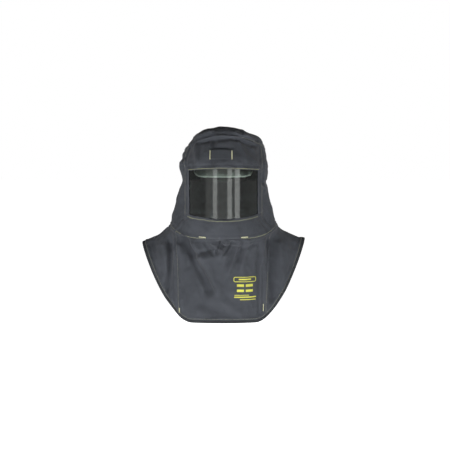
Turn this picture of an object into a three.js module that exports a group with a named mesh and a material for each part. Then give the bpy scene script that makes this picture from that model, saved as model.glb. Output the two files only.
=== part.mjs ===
// Arc flash hood: a sewn hood and shoulder cape of thick flame-resistant cloth, worn over a hard cap.
// A curved, tinted face lens sits behind the window in the front of the hood.
// Units are millimetres, +Z is up and the face looks along -Y. Left and right are as seen from the front.
// The origin is where the crown straps rest on top of the head.
import * as THREE from "three";

// Overall sizes of the sewn hood, measured from the origin
const crownRise = 68; // top of the hood above the head
const neckDrop = 266; // neck seam, at the side, below the top of the head
const bibDrop = 579; // hem of the bib, at the front, below the top of the head
const hoodHalfWidth = 150; // at the temples
const capeHalfWidth = 281; // at the shoulder points
const crownFront = 143; // reach of the crown seam in front of the origin
const crownBack = 140; // and behind it
const hoodBack = 166; // reach of the back of the hood behind the origin
const capeFront = 180; // reach of the bib's hem in front of the origin
const capeBack = 170; // and of the back hem behind it

// Cloth
const clothWall = 3;
const seamGap = 0.8; // between neighbouring pieces of cloth
const bindingWidth = 10; // tape folded over the hem
const bindingProud = 0.7; // how far the tape stands off the cloth on each face
const faceSeamTurn = 62; // degrees from the front to the seam beside the face
const backSeamTurn = 128; // degrees from the front to the seam of the back panel
const foldFade = 60; // folds die out this near the plane between front and back
const bibTaperLeft = 0.93; // width of the bib at its hem, as a share of its width at the neck, on each side
const bibTaperRight = 0.86;

// Face lens and its window
const lensRadius = 139.6; // outer face of the lens
const lensCentreY = -50; // axis of the lens, which is the axis of the front of the hood too
const lensThickness = 2;
const lensClearance = 0.4; // between the lens and the cloth over its edge
const lensOverlap = 9; // how far the cloth covers the lens at each side
const windowTurn = 53.5; // degrees from the front to the side of the window
const lensUnderBrow = 9; // how far the lens runs up behind the brow panel
const lensUnderChin = 10; // and down behind the chin panel

// Band across the brow that holds a lamp
const lampBandLength = 76;
const lampBandHeight = 29;
const lampBandThickness = 2;
const lampBandClearance = 0.4; // under its sewn ends
const lampBandLoop = 4; // how far its middle stands off the brow
const lampBandTurn = -3; // degrees from the front to its middle
const lampBandDrop = 29; // its middle below the top of the head

// Hard cap
const capHalfWidth = 112;
const capFront = 126;
const capBack = 128;
const capWall = 2.6;
const capRimZ = -70;
const capTopZ = 54;
const capRoundness = 2.4; // exponent of its dome, 2 being an ellipsoid
const capLip = 5; // rim round the sides and back
const peakReach = 42; // how far the peak stands out in front of the rim
const peakDrop = 28; // how far its edge hangs below the rim
const peakTurn = 30; // degrees from the front over which the peak has its full reach
const peakEndTurn = 56; // degrees from the front at which it has run out
const capClearance = 0.4; // between the top of the cap and the cloth that rests on it

// Suspension inside the cap
const headHalfWidth = 78;
const headHalfLength = 98;
const headbandTopZ = -90;
const headbandHeight = 30;
const headbandThickness = 2.4;
const strapWidth = 19;
const strapThickness = 1.4;
const strapTurn = 45; // degrees from the front to the crossing straps
const fitGap = 0.4; // between pieces of the suspension that touch
const keyWidth = 20;
const keyHeight = 16;
const keyRise = 34; // how far a key climbs from the headband to the shell
const keyThickness = 4;

const degree = Math.PI / 180;
const clothRadius = lensRadius + lensClearance + clothWall; // outer face of the cloth round the window
const hoodBackReach = hoodBack - lensCentreY;
const capeRun = bibDrop - neckDrop;
const seatZ = capTopZ + capClearance + clothWall; // outer face of the cloth where it lies on the cap

// Records from a list of column names and rows of values
const table = (columns, rows) =>
  rows.map((row) => Object.fromEntries(row.map((value, i) => [columns[i], value])));

// Horizontal sections of the hood, from the top down. Heights are shares of crownRise above the head's top,
// of neckDrop below it, and of the run from neck to hem in the cape. left and right are shares of
// hoodHalfWidth, and of capeHalfWidth in the cape. front and back are shares of the reaches in front of and
// behind the section's own centre, which lies the share centre of lensCentreY from the origin. Out to the
// share flat of its width a section keeps the height of its front or back, and from there it turns to the
// height of its side with the power late. round is 1 where the front is the circle that the lens follows.
const crownRows = table(
  ["name", "frontZ", "leftZ", "rightZ", "backZ", "left", "right", "front", "back"],
  [
    ["ridge",      0.95,  0.86,   0.8, 0.84, 0.36,  0.33,  0.4, 0.42],
    ["top",        0.93,  0.62,  0.58, 0.66, 0.57,  0.67, 0.68,  0.7],
    ["shoulder",   0.76,   0.3,  0.32,  0.4, 0.71,  0.87, 0.87, 0.88],
    ["crown_seam",  0.5, -0.12, -0.06,  0.1, 0.88, 0.935,    1,    1],
  ],
);
const hoodRows = table(
  [
    "name", "frontZ", "leftZ", "rightZ", "backZ", "left",
    "right", "centre", "front", "back", "flat", "late", "round",
  ],
  [
    ["temple",         0.06, 0.155, 0.155, 0.14, 0.955,  0.96, 0.5, 1.035,  0.85,   0,   2,   0],
    ["bulge",          0.17, 0.224, 0.235, 0.25,  1.02, 0.983, 0.9, 1.012,  0.96,   0,   2, 0.6],
    ["lens_top",      0.232, 0.272, 0.272, 0.33, 1.005,   1.0,   1,     1, 0.995,   0,   2,   1],
    ["window_top",    0.274, 0.312, 0.306,  0.4, 0.985, 0.995,   1,     1,     1,   0,   2,   1],
    ["waist",          0.43,  0.44,  0.45, 0.52,  0.95, 0.965,   1,     1,  0.99,   0,   2,   1],
    ["cheek",          0.65,  0.64,  0.64, 0.69, 1.055,  1.04,   1,     1,  0.97,   0,   2,   1],
    ["window_bottom", 0.888,  0.82,  0.81, 0.87, 1.145,  1.13,   1,     1,  0.93,   0,   2,   1],
    ["lens_bottom",    0.95,  0.89,  0.89, 0.95,  1.18, 1.163,   1,     1, 0.915,   0, 2.2,   1],
    ["neck",          1.135,     1,  0.99, 1.07, 1.215, 1.225, 0.6,  1.02, 0.855, 0.2, 3.6,   0],
  ],
);
const capeRows = table(
  ["name", "frontZ", "leftZ", "rightZ", "backZ", "left", "right", "front", "back", "flat", "late"],
  [
    ["collar", 0.28, 0.062,  0.06, 0.28,  0.71, 0.705, 0.955, 0.91, 0.25,    3],
    ["chest",   0.6,  0.13, 0.118, 0.56, 0.845,  0.85, 0.975, 0.96, 0.38,  2.1],
    ["hem",       1, 0.195, 0.152, 0.95,     1,     1,     1,    1, 0.38, 1.78],
  ],
);

// Soft folds, each a ridge (lift above 0) or a valley along a bowed line seen from the front or the back.
// x, bow, width and lift are shares of capeHalfWidth, and z is a share of bibDrop.
const foldRows = table(
  ["name", "face", "x0", "z0", "x1", "z1", "bow", "width", "lift"],
  [
    ["bib_left_valley",   "front", -0.47, -0.56, -0.17,  -0.83,  0.05, 0.055, -0.026],
    ["bib_left_ridge",    "front", -0.38, -0.56, -0.08,   -0.8,  0.05,  0.07,  0.022],
    ["bib_right_valley",  "front",  0.14, -0.56,   0.1,  -0.78,  0.06,  0.06, -0.014],
    ["bib_pinch_left",    "front", -0.16, -0.55,  0.02, -0.575,  0.01,  0.04, -0.018],
    ["bib_pinch_right",   "front",   0.2, -0.55, -0.02, -0.585, -0.01,  0.04,  0.016],
    ["bib_low_valley",    "front", -0.12, -0.82, -0.05,  -0.94,     0,  0.07, -0.012],
    ["bib_low_swell",     "front",  -0.4, -0.84, -0.34,  -0.96,     0,  0.08,  0.018],
    ["bib_right_pleat",   "front",  0.42, -0.62,  0.38,  -0.93,  0.01, 0.045, -0.018],
    ["left_cape_valley",  "front", -0.63, -0.56, -0.65,  -0.95,  0.05,  0.05, -0.036],
    ["left_cape_ridge",   "front", -0.57, -0.58, -0.58,  -0.88,     0,  0.04,  0.018],
    ["left_seam_valley",  "front",  -0.5, -0.64, -0.49,  -0.93,     0,  0.04,  -0.02],
    ["right_cape_valley", "front",   0.6, -0.53,  0.61,  -0.86,     0,  0.05, -0.032],
    ["right_cape_ridge",  "front",  0.68, -0.58,  0.72,  -0.82,  0.01,  0.06,  0.018],
    ["back_left_valley",  "back",   -0.5, -0.54, -0.42,   -0.9,  0.03,  0.07,  -0.03],
    ["back_left_ridge",   "back",  -0.34, -0.55, -0.24,  -0.92,  0.02,  0.08,  0.026],
    ["back_right_valley", "back",   0.48, -0.54,  0.44,   -0.9, -0.03,  0.07, -0.028],
    ["back_right_ridge",  "back",    0.3, -0.55,  0.22,  -0.92, -0.02,  0.08,  0.026],
    ["nape_fold",         "back",   -0.3,  -0.4,  0.32,  -0.43,  0.03,  0.07, -0.024],
    ["nape_roll",         "back",  -0.34, -0.35,   0.3,  -0.36,  0.02,  0.08,  0.022],
  ],
);

// The sections in millimetres, one list from the top of the crown to the hem
const sections = [
  ...crownRows.map((row) => ({
    ...row,
    frontZ: row.frontZ * crownRise,
    leftZ: row.leftZ * crownRise,
    rightZ: row.rightZ * crownRise,
    backZ: row.backZ * crownRise,
    left: row.left * hoodHalfWidth,
    right: row.right * hoodHalfWidth,
    centre: 0,
    front: row.front * crownFront,
    back: row.back * crownBack,
    flat: 0,
    late: 2,
    round: 0,
  })),
  ...hoodRows.map((row) => ({
    ...row,
    frontZ: -row.frontZ * neckDrop,
    leftZ: -row.leftZ * neckDrop,
    rightZ: -row.rightZ * neckDrop,
    backZ: -row.backZ * neckDrop,
    left: row.left * hoodHalfWidth,
    right: row.right * hoodHalfWidth,
    centre: row.centre * lensCentreY,
    front: row.front * clothRadius,
    back: row.back * hoodBackReach,
  })),
  ...capeRows.map((row) => ({
    ...row,
    frontZ: -neckDrop - row.frontZ * capeRun,
    leftZ: -neckDrop - row.leftZ * capeRun,
    rightZ: -neckDrop - row.rightZ * capeRun,
    backZ: -neckDrop - row.backZ * capeRun,
    left: row.left * capeHalfWidth,
    right: row.right * capeHalfWidth,
    centre: 0,
    front: row.front * capeFront,
    back: row.back * capeBack,
    round: 0,
  })),
];
const heights = { frontZ: seatZ, leftZ: seatZ, rightZ: seatZ, backZ: seatZ };
const apex = { ...heights, left: 0, right: 0, centre: 0, front: 0, back: 0, flat: 0, late: 2, round: 0 };
const rows = [apex, ...sections];
const levelOf = Object.fromEntries(sections.map((row, index) => [row.name, index + 1]));
const hemLevel = levelOf.hem;

// A smooth curve through a column's values that never overshoots them
function columnCurve(values) {
  const steps = values.slice(1).map((value, i) => value - values[i]);
  const slopes = values.map((_, i) => {
    const before = steps[Math.max(i - 1, 0)];
    const after = steps[Math.min(i, steps.length - 1)];
    return before * after <= 0 ? 0 : (2 * before * after) / (before + after);
  });
  return (level) => {
    const i = Math.min(Math.max(Math.floor(level), 0), values.length - 2);
    const t = level - i;
    const rise = values[i + 1] - values[i];
    const bend = slopes[i] * (1 - t) - slopes[i + 1] * t + rise * (2 * t - 1);
    return values[i] + rise * t + t * (1 - t) * bend;
  };
}
const columns = Object.keys(apex);
const curves = columns.map((column) => columnCurve(rows.map((row) => row[column])));
const sectionAt = (level) => Object.fromEntries(columns.map((column, i) => [column, curves[i](level)]));

const blend = (from, to, share) => from + (to - from) * share;

function smoothStep(value, from, to) {
  const t = Math.min(Math.max((value - from) / (to - from), 0), 1);
  return t * t * (3 - 2 * t);
}

// A point of the smooth garment. turn is in degrees from the front, positive to the right.
function garmentPoint(turn, level) {
  const row = sectionAt(level);
  const sine = Math.sin(turn * degree);
  const cosine = Math.cos(turn * degree);
  const inFront = cosine > 0;
  const side = sine < 0 ? row.left : row.right;
  const sideZ = sine < 0 ? row.leftZ : row.rightZ;
  const endZ = inFront ? row.frontZ : row.backZ;
  const circle = inFront ? row.round * (1 - smoothStep(Math.abs(turn), faceSeamTurn, 90)) : 0;
  return new THREE.Vector3(
    blend(side, clothRadius, circle) * sine,
    row.centre - (inFront ? row.front : row.back) * cosine,
    blend(endZ, sideZ, (Math.max(Math.abs(sine) - row.flat, 0) / (1 - row.flat)) ** row.late),
  );
}

const probe = 0.01; // step for slopes, in degrees and in levels

const slopeAlongTurn = (turn, level) =>
  garmentPoint(turn + probe, level).sub(garmentPoint(turn - probe, level)).divideScalar(2 * probe);

function slopeAlongLevel(turn, level) {
  const above = Math.max(level - probe, probe);
  const below = Math.min(level + probe, hemLevel);
  return garmentPoint(turn, below).sub(garmentPoint(turn, above)).divideScalar(below - above);
}

// The direction out of the cloth
const garmentNormal = (turn, level) =>
  slopeAlongLevel(turn, level).cross(slopeAlongTurn(turn, Math.max(level, probe))).normalize();

// How far the folds lift the cloth at a point
function foldLift(point) {
  const face = point.y < 0 ? "front" : "back";
  let lift = 0;
  for (const fold of foldRows.filter((row) => row.face === face)) {
    const start = new THREE.Vector2(fold.x0 * capeHalfWidth, fold.z0 * bibDrop);
    const end = new THREE.Vector2(fold.x1 * capeHalfWidth, fold.z1 * bibDrop);
    const line = end.clone().sub(start);
    const offset = new THREE.Vector2(point.x, point.z).sub(start);
    const along = offset.dot(line) / line.lengthSq();
    const bowed = 4 * along * (1 - along) * fold.bow * capeHalfWidth;
    const across = offset.cross(line) / line.length() + (along > 0 && along < 1 ? bowed : 0);
    const past = (Math.max(-along, along - 1, 0) * line.length()) / (fold.width * capeHalfWidth);
    const away = across / (fold.width * capeHalfWidth);
    lift += fold.lift * capeHalfWidth * Math.exp(-away * away - past * past);
  }
  return lift * smoothStep(Math.abs(point.y), 0, foldFade);
}

// Closed geometry from two grids of points, the outer and the inner face of a wall. grid[j][i] runs round or
// across with i and down with j. A loop closes on itself round i, and a pole is one point at the start of j.
function wallGeometry(outer, inner, { loop = false, pole = null } = {}) {
  const points = [];
  const triangles = [];
  const add = (point) => points.push(point) - 1;
  const outerIds = outer.map((line) => line.map(add));
  const innerIds = inner.map((line) => line.map(add));
  const count = outer[0].length;
  const end = count - 1;
  const last = outer.length - 1;
  const spans = loop ? count : end;
  const next = (i) => (i + 1) % count;
  const quad = (a, b, c, d) => triangles.push([a, b, c], [a, c, d]);
  for (let j = 0; j < last; j++)
    for (let i = 0; i < spans; i++) {
      quad(outerIds[j][i], outerIds[j + 1][i], outerIds[j + 1][next(i)], outerIds[j][next(i)]);
      quad(innerIds[j][i], innerIds[j][next(i)], innerIds[j + 1][next(i)], innerIds[j + 1][i]);
    }
  const outerPole = pole && add(pole.outer);
  const innerPole = pole && add(pole.inner);
  for (let i = 0; i < spans; i++) {
    quad(outerIds[last][i], innerIds[last][i], innerIds[last][next(i)], outerIds[last][next(i)]);
    if (pole) {
      triangles.push([outerPole, outerIds[0][i], outerIds[0][next(i)]]);
      triangles.push([innerPole, innerIds[0][next(i)], innerIds[0][i]]);
    } else quad(outerIds[0][next(i)], innerIds[0][next(i)], innerIds[0][i], outerIds[0][i]);
  }
  if (!loop)
    for (let j = 0; j < last; j++) {
      quad(outerIds[j][0], innerIds[j][0], innerIds[j + 1][0], outerIds[j + 1][0]);
      quad(outerIds[j + 1][end], innerIds[j + 1][end], innerIds[j][end], outerIds[j][end]);
    }
  const volume = triangles.reduce(
    (sum, [a, b, c]) => sum + points[a].dot(points[b].clone().cross(points[c])),
    0,
  );
  if (volume < 0) triangles.forEach((triangle) => triangle.reverse());
  const geometry = new THREE.BufferGeometry();
  geometry.setAttribute("position", new THREE.Float32BufferAttribute(points.flatMap((p) => p.toArray()), 3));
  geometry.setIndex(triangles.flat());
  geometry.computeVertexNormals();
  return geometry;
}

// Moves the borders of a grid towards its inside, so that pieces which share a seam keep clear of each other
function drawIn(grid, distance, borders) {
  const last = grid.length - 1;
  const end = grid[0].length - 1;
  const towards = (from, to) => to.clone().sub(from).setLength(distance);
  return grid.map((line, j) =>
    line.map((point, i) => {
      const drawn = point.clone();
      if (borders.top && j === 0) drawn.add(towards(point, grid[1][i]));
      if (borders.bottom && j === last) drawn.add(towards(point, grid[last - 1][i]));
      if (borders.sides && i === 0) drawn.add(towards(point, line[1]));
      if (borders.sides && i === end) drawn.add(towards(point, line[end - 1]));
      return drawn;
    }),
  );
}

const seamPasses = 6; // rounds in which a point's turn and level settle on each other

// A piece of cloth between two levels, given for a turn. It runs between two turns, given for a level, or
// round the whole hood through its stops.
function clothPiece({ turns, stops, levels, across, down, pole = false, proud = 0, borders }) {
  const spots = [];
  for (let j = pole ? 1 : 0; j <= down; j++) {
    const line = [];
    for (let i = 0; i <= (stops ? stops.length - 1 : across); i++) {
      const turnAtLevel = (level) => (stops ? stops[i] : blend(...turns(level), i / across));
      let turn = turnAtLevel(hemLevel);
      let level = blend(...levels(turn), j / down);
      for (let pass = 0; pass < seamPasses; pass++) {
        turn = turnAtLevel(level);
        level = blend(...levels(turn), j / down);
      }
      line.push({ turn, level });
    }
    spots.push(line);
  }
  const normals = spots.map((line) => line.map(({ turn, level }) => garmentNormal(turn, level)));
  const smooth = spots.map((line) => line.map(({ turn, level }) => garmentPoint(turn, level)));
  const folded = smooth.map((line, j) =>
    line.map((p, i) => p.clone().addScaledVector(normals[j][i], foldLift(p))),
  );
  const drawn = drawIn(folded, seamGap / 2, borders);
  const shifted = (distance) =>
    drawn.map((line, j) => line.map((p, i) => p.clone().addScaledVector(normals[j][i], distance)));
  const centre = {
    outer: new THREE.Vector3(0, 0, seatZ),
    inner: new THREE.Vector3(0, 0, seatZ - clothWall),
  };
  return wallGeometry(shifted(proud), shifted(-clothWall - proud), {
    loop: Boolean(stops),
    pole: pole ? centre : null,
  });
}

// Seams, as the turn of each at a level. Those of the front and back bibs run down from the ends of the chin
// panel and of the back panel.
function bibTurn(side, level) {
  const fromNeck = Math.max(level, levelOf.neck);
  const down = (fromNeck - levelOf.neck) / (hemLevel - levelOf.neck);
  const halfWidth = sectionAt(levelOf.neck)[side] * Math.sin(faceSeamTurn * degree);
  const taper = blend(1, side === "left" ? bibTaperLeft : bibTaperRight, down);
  return Math.asin((halfWidth * taper) / sectionAt(fromNeck)[side]) / degree;
}
function backBibTurn(side, level) {
  const halfWidth = sectionAt(levelOf.neck)[side] * Math.sin(backSeamTurn * degree);
  return 180 - Math.asin(halfWidth / sectionAt(Math.max(level, levelOf.neck))[side]) / degree;
}
const hemEdge = (turn) => hemLevel - bindingWidth / slopeAlongLevel(turn, hemLevel).length();

// Pieces that share a seam are divided alike along it
const browSteps = 18;
const bibSteps = 30;
const sideSteps = 10;
const capeSteps = 2 * sideSteps;
const backSteps = 12;
const levelSteps = 2; // for each section that a piece of the hood passes

// Turns all round, from the corners between the pieces that meet there and the steps of each piece
const spread = (from, to, count) => Array.from({ length: count }, (_, i) => blend(from, to, i / count));
const ringStops = (corners, steps) => steps.flatMap((count, k) => spread(corners[k], corners[k + 1], count));
const crownCorners = [-faceSeamTurn, faceSeamTurn, backSeamTurn, 360 - backSeamTurn, 360 - faceSeamTurn];
const hemCorners = [
  -bibTurn("left", hemLevel),
  bibTurn("right", hemLevel),
  backBibTurn("right", hemLevel),
  360 - backBibTurn("left", hemLevel),
  360 - bibTurn("left", hemLevel),
];

const allSides = { top: true, bottom: true, sides: true };
const fromNeckToHem = (turn) => [levelOf.neck, hemEdge(turn)];
const sideName = { "-1": "left", 1: "right" };
const ordered = (side, from, to) => (side > 0 ? [from, to] : [-to, -from]);
const hoodStretch = (top, bottom) => ({
  levels: () => [levelOf[top], levelOf[bottom]],
  down: levelSteps * (levelOf[bottom] - levelOf[top]),
  borders: allSides,
});

const clothPieces = {
  crown_panel: {
    stops: ringStops(crownCorners, [browSteps, sideSteps, backSteps, sideSteps]),
    levels: () => [0, levelOf.crown_seam],
    down: 6,
    pole: true,
    borders: { bottom: true },
  },
  brow_panel: {
    turns: () => [-faceSeamTurn, faceSeamTurn],
    across: browSteps,
    ...hoodStretch("crown_seam", "window_top"),
  },
  chin_panel: {
    turns: () => [-faceSeamTurn, faceSeamTurn],
    across: bibSteps,
    ...hoodStretch("window_bottom", "neck"),
  },
  back_panel: {
    turns: () => [backSeamTurn, 360 - backSeamTurn],
    across: backSteps,
    ...hoodStretch("crown_seam", "neck"),
  },
  bib_front: {
    turns: (level) => [-bibTurn("left", level), bibTurn("right", level)],
    levels: fromNeckToHem,
    across: bibSteps,
    down: 14,
    borders: allSides,
  },
  bib_back: {
    turns: (level) => [backBibTurn("right", level), 360 - backBibTurn("left", level)],
    levels: fromNeckToHem,
    across: backSteps,
    down: 10,
    borders: allSides,
  },
  hem_binding: {
    stops: ringStops(hemCorners, [bibSteps, capeSteps, backSteps, capeSteps]),
    levels: (turn) => [hemEdge(turn), hemLevel],
    down: 1,
    proud: bindingProud,
    borders: { top: true },
  },
};
for (const side of [-1, 1]) {
  const name = sideName[side];
  clothPieces["window_jamb_" + name] = {
    turns: () => ordered(side, windowTurn, faceSeamTurn),
    across: 2,
    ...hoodStretch("window_top", "window_bottom"),
  };
  clothPieces["side_panel_" + name] = {
    turns: () => ordered(side, faceSeamTurn, backSeamTurn),
    across: sideSteps,
    ...hoodStretch("crown_seam", "neck"),
  };
  clothPieces["cape_" + name] = {
    turns: (level) => ordered(side, bibTurn(name, level), backBibTurn(name, level)),
    levels: fromNeckToHem,
    across: capeSteps,
    down: 9,
    borders: allSides,
  };
}

// The lens is a bent sheet whose edges follow the window's
function lensGeometry() {
  const across = 26;
  const half = windowTurn + lensOverlap / (lensRadius * degree);
  const at = (turn, z, radius) =>
    new THREE.Vector3(
      radius * Math.sin(turn * degree),
      lensCentreY - radius * Math.cos(turn * degree),
      z,
    );
  const edge = (name, beyond, radius) =>
    Array.from({ length: across + 1 }, (_, i) => {
      const turn = blend(-half, half, i / across);
      return at(turn, garmentPoint(turn, levelOf[name]).z + beyond, radius);
    });
  const grid = (radius) => [
    edge("window_top", lensUnderBrow, radius),
    edge("window_bottom", -lensUnderChin, radius),
  ];
  return wallGeometry(grid(lensRadius), grid(lensRadius - lensThickness));
}

const levelPasses = 20; // halvings in the search for a level

// The level at which the brow reaches a height, at a turn
function browLevel(turn, z) {
  let above = levelOf.crown_seam;
  let below = levelOf.window_top;
  for (let pass = 0; pass < levelPasses; pass++) {
    const middle = (above + below) / 2;
    if (garmentPoint(turn, middle).z > z) above = middle;
    else below = middle;
  }
  return (above + below) / 2;
}

// The lamp band runs level across the brow and stands off it in the middle
function lampBandGeometry() {
  const across = 12;
  const middleLevel = browLevel(lampBandTurn, -lampBandDrop);
  const halfTurn = lampBandLength / 2 / slopeAlongTurn(lampBandTurn, middleLevel).length();
  const grid = (offset) =>
    [1, 0, -1].map((up) =>
      Array.from({ length: across + 1 }, (_, i) => {
        const share = (2 * i) / across - 1;
        const turn = lampBandTurn + share * halfTurn;
        const level = browLevel(turn, (up * lampBandHeight) / 2 - lampBandDrop);
        const point = garmentPoint(turn, level);
        const loop = lampBandLoop * (1 - share ** 4);
        const lift = foldLift(point) + lampBandClearance + loop + offset;
        return point.addScaledVector(garmentNormal(turn, level), lift);
      }),
    );
  return wallGeometry(grid(lampBandThickness), grid(0));
}

// A point of the cap's dome, at a share of the way from its top to its rim. inset moves it into the wall.
function capPoint(turn, share, inset) {
  const sine = Math.sin(turn * degree);
  const cosine = Math.cos(turn * degree);
  const reach = (cosine > 0 ? capFront : capBack) - inset;
  return new THREE.Vector3(
    (capHalfWidth - inset) * share * sine,
    -reach * share * cosine,
    capRimZ + (capTopZ - inset - capRimZ) * (1 - share ** capRoundness) ** (1 / capRoundness),
  );
}

// The lip or peak outside the rim, at a share of its reach
function peakPoint(turn, share, depth) {
  const full = 1 - smoothStep(Math.abs(turn), peakTurn, peakEndTurn);
  const out = new THREE.Vector3(Math.sin(turn * degree), -Math.cos(turn * degree), 0);
  const point = capPoint(turn, 1, 0).addScaledVector(out, blend(capLip, peakReach, full) * share);
  point.z -= peakDrop * full * share ** 1.5 + depth;
  return point;
}

const capSteps = 36; // facets round the cap
const domeShares = [0.25, 0.5, 0.72, 0.88, 0.97, 1]; // rings of the dome, as shares of the way to its rim
const peakShares = [0.5, 1]; // rings of the lip and peak, as shares of their reach

function capGeometry() {
  const turns = Array.from({ length: capSteps }, (_, i) => (i * 360) / capSteps - 180);
  const rings = (inset) => [
    ...domeShares.map((share) => turns.map((turn) => capPoint(turn, share, inset))),
    ...peakShares.map((share) => turns.map((turn) => peakPoint(turn, share, inset))),
  ];
  return wallGeometry(rings(0), rings(capWall), {
    loop: true,
    pole: { outer: capPoint(0, 0, 0), inner: capPoint(0, 0, capWall) },
  });
}

// A point round the head, outset from its surface by a distance
function headPoint(turn, z, outset) {
  return new THREE.Vector3(
    (headHalfWidth + outset) * Math.sin(turn * degree),
    -(headHalfLength + outset) * Math.cos(turn * degree),
    z,
  );
}

function headbandGeometry() {
  const around = 36;
  const ring = (z, outset) =>
    Array.from({ length: around }, (_, i) => headPoint((i * 360) / around, z, outset));
  const rings = (outset) => [headbandTopZ, headbandTopZ - headbandHeight].map((z) => ring(z, outset));
  return wallGeometry(rings(headbandThickness), rings(0), { loop: true });
}

const strapSteps = 16;

// A strap over the head between two points above the headband. An upper strap clears the lower one.

function strapGeometry(turn, isUpper) {
  const end = headPoint(turn, 0, 0);
  const along = end.clone().normalize();
  const sideways = new THREE.Vector3(0, 0, 1).cross(along).setLength(strapWidth / 2);
  const reach = end.length();
  const drop = -headbandTopZ - fitGap;
  const crossingSag = (strapWidth / 2) * Math.tan((90 / strapSteps) * degree) * (drop / reach);
  const lift = isUpper ? strapThickness + fitGap + crossingSag : 0;
  const line = (offset, side) =>
    Array.from({ length: strapSteps + 1 }, (_, i) => {
      const angle = ((2 * i) / strapSteps - 1) * 90 * degree;
      const height = (drop + strapThickness + lift + offset) * Math.cos(angle) - drop;
      return along
        .clone()
        .multiplyScalar((reach + offset) * Math.sin(angle))
        .addScaledVector(sideways, side)
        .setZ(height);
    });
  const grid = (offset) => [line(offset, -1), line(offset, 1)];
  return wallGeometry(grid(0), grid(-strapThickness));
}

// How far the inside of the faceted shell lies from a point, in a level direction and at a height
function reachToShell(from, out, z) {
  const ringZ = domeShares.map((share) => capPoint(0, share, capWall).z);
  const below = ringZ.findIndex((height) => height <= z);
  const downFacet = (ringZ[below - 1] - z) / (ringZ[below - 1] - ringZ[below]);
  const share = blend(domeShares[below - 1], domeShares[below], downFacet) * Math.cos(Math.PI / capSteps);
  const half = new THREE.Vector2(capHalfWidth - capWall, (out.y < 0 ? capFront : capBack) - capWall);
  const start = new THREE.Vector2(from.x, from.y).divide(half);
  const way = new THREE.Vector2(out.x, out.y).divide(half);
  const slant = start.dot(way);
  const toEdge = Math.sqrt(slant ** 2 - way.lengthSq() * (start.lengthSq() - share ** 2));
  return (toEdge - slant) / way.lengthSq();
}

// A key that climbs from the headband to the inside of the shell, drawn in the plane that points out of the
// headband
function keyGeometry(turn) {
  const onBand = headPoint(turn, 0, headbandThickness);
  const out = new THREE.Vector3(
    Math.sin(turn * degree) / headHalfWidth,
    -Math.cos(turn * degree) / headHalfLength,
    0,
  ).normalize();
  const sideways = new THREE.Vector3(0, 0, 1).cross(out).setLength(keyWidth / 2);
  const lowZ = headbandTopZ - keyHeight;
  const highZ = lowZ + keyHeight + keyRise;
  const corners = [-1, 1].map((edge) => onBand.clone().addScaledVector(sideways, edge));
  const reaches = corners.map((corner) => reachToShell(corner, out, highZ));
  const span = Math.min(...reaches) - fitGap;
  const outline = new THREE.Shape();
  outline.moveTo(fitGap, lowZ);
  outline.lineTo(fitGap + keyThickness, lowZ);
  outline.lineTo(span, highZ - keyHeight);
  outline.lineTo(span, highZ);
  outline.lineTo(span - keyThickness, highZ);
  outline.lineTo(fitGap, lowZ + keyHeight);
  const geometry = new THREE.ExtrudeGeometry(outline, { depth: keyWidth, bevelEnabled: false });
  geometry.translate(0, 0, -keyWidth / 2);
  const up = new THREE.Vector3(0, 0, 1);
  const basis = new THREE.Matrix4().makeBasis(out, up, out.clone().cross(up));
  geometry.applyMatrix4(basis.setPosition(onBand));
  return geometry;
}

// Materials
const cloth = new THREE.MeshStandardMaterial({ color: 0x4a4d52, roughness: 0.9 });
const bindingTape = new THREE.MeshStandardMaterial({ color: 0x2e2f30, roughness: 0.85 });
const tintedLens = new THREE.MeshStandardMaterial({
  color: 0x6f8072,
  roughness: 0.08,
  transparent: true,
  opacity: 0.35,
});
const capPlastic = new THREE.MeshStandardMaterial({ color: 0xb9bdbb, roughness: 0.35 });
const bandPlastic = new THREE.MeshStandardMaterial({ color: 0x1d1f20, roughness: 0.5 });
const webbing = new THREE.MeshStandardMaterial({ color: 0x33363a, roughness: 0.85 });

const hood = new THREE.Group();
function addMesh(name, geometry, material) {
  const mesh = new THREE.Mesh(geometry, material);
  mesh.name = name;
  hood.add(mesh);
}

for (const [name, piece] of Object.entries(clothPieces))
  addMesh(name, clothPiece(piece), name === "hem_binding" ? bindingTape : cloth);
addMesh("lamp_band", lampBandGeometry(), cloth);
addMesh("face_lens", lensGeometry(), tintedLens);
addMesh("cap_shell", capGeometry(), capPlastic);
addMesh("headband", headbandGeometry(), bandPlastic);
addMesh("crown_strap_lower", strapGeometry(strapTurn, false), webbing);
addMesh("crown_strap_upper", strapGeometry(-strapTurn, true), webbing);
for (const [end, turn] of [["front", strapTurn], ["back", 180 - strapTurn]])
  for (const side of [-1, 1])
    addMesh("suspension_key_" + end + "_" + sideName[side], keyGeometry(side * turn), bandPlastic);

export default hood;
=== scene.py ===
# %% [markdown]
# An arc flash hood is sewn from thick, flame-resistant cloth and worn over a hard cap. A curved, tinted
# lens closes the window, and a shoulder cape with two pointed wings covers the neck and chest. This
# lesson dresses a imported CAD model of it. The CAD model fixes every size and place. Each cell below
# makes one piece or one finish, in metres, in the same frame: +Z is up, the window looks along -Y, and
# +X is right in the picture.

import math

import bmesh
import bpy
from mathutils import Matrix, Vector, noise
from mathutils.bvhtree import BVHTree
from mathutils.kdtree import KDTree


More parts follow.
